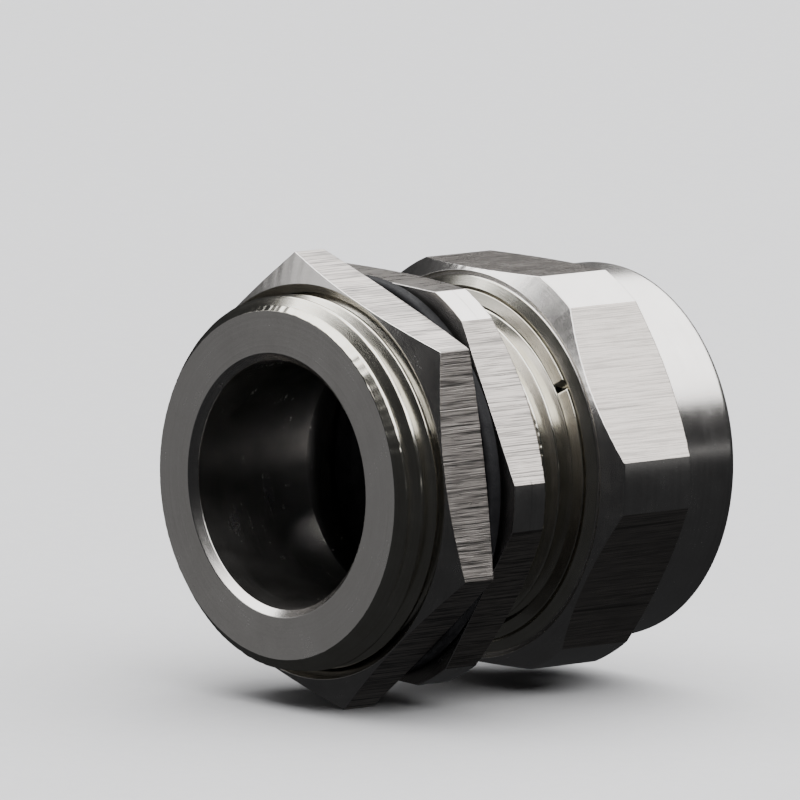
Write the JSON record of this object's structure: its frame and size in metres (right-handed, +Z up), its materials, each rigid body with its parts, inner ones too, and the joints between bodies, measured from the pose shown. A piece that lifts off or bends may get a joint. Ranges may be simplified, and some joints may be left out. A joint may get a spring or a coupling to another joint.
{
  "type": "cable gland",
  "caption": "Metal cable gland: threaded entry with lock nut and gasket, hexagonal flange, and a dome nut that closes a slotted claw on a rubber sealing insert.",
  "frame": {"origin": "on the gland's axis, in the plane of the flange's sealing face, which is the face towards the entry thread", "axes": "+X along the gland's axis from the entry thread to the dome nut, +Z up with the gland lying on its side, +Y to complete a right-handed frame"},
  "size_m": [0.034, 0.0328, 0.034],
  "materials": {
    "body_steel": "turned and milled, fine tool marks",
    "lock_nut_steel": "drawn bar flats with coarse marks, turned faces",
    "dome_nut_steel": "turned and milled, fine tool marks",
    "claw_nylon": "moulded, satin",
    "seal_rubber": "matte",
    "gasket_rubber": "matte"
  },
  "bodies": {
    "gland": {"gland_body": "body_steel"},
    "gasket": {"entry_gasket": "gasket_rubber"},
    "lock_nut": {"lock_nut": "lock_nut_steel"},
    "clamp": {"clamping_claw": "claw_nylon", "sealing_insert": "seal_rubber"},
    "dome_nut": {"dome_nut": "dome_nut_steel"}
  },
  "joints": [
    {"name": "lock_nut_travel", "type": "slide", "parent": "gland", "child": "gasket", "axis": [1, 0, 0], "range_m": [-0.00556, 0.00024]},
    {"name": "lock_nut_turn", "type": "hinge", "parent": "gasket", "child": "lock_nut", "pos_m": [-0.0037, 0, 0], "axis": [1, 0, 0], "range_deg": [-1260, 54]},
    {"name": "dome_nut_travel", "type": "slide", "parent": "gland", "child": "clamp", "axis": [1, 0, 0], "range_m": [-0.0035, 0.003]},
    {"name": "dome_nut_turn", "type": "hinge", "parent": "clamp", "child": "dome_nut", "pos_m": [0.017, 0, 0], "axis": [1, 0, 0], "range_deg": [-840, 720]}
  ],
  "couplings": [
    {"joint": "lock_nut_travel", "follows": "lock_nut_turn", "m_per_rad": 0.00025266},
    {"joint": "dome_nut_travel", "follows": "dome_nut_turn", "m_per_rad": 0.00023873}
  ]
}
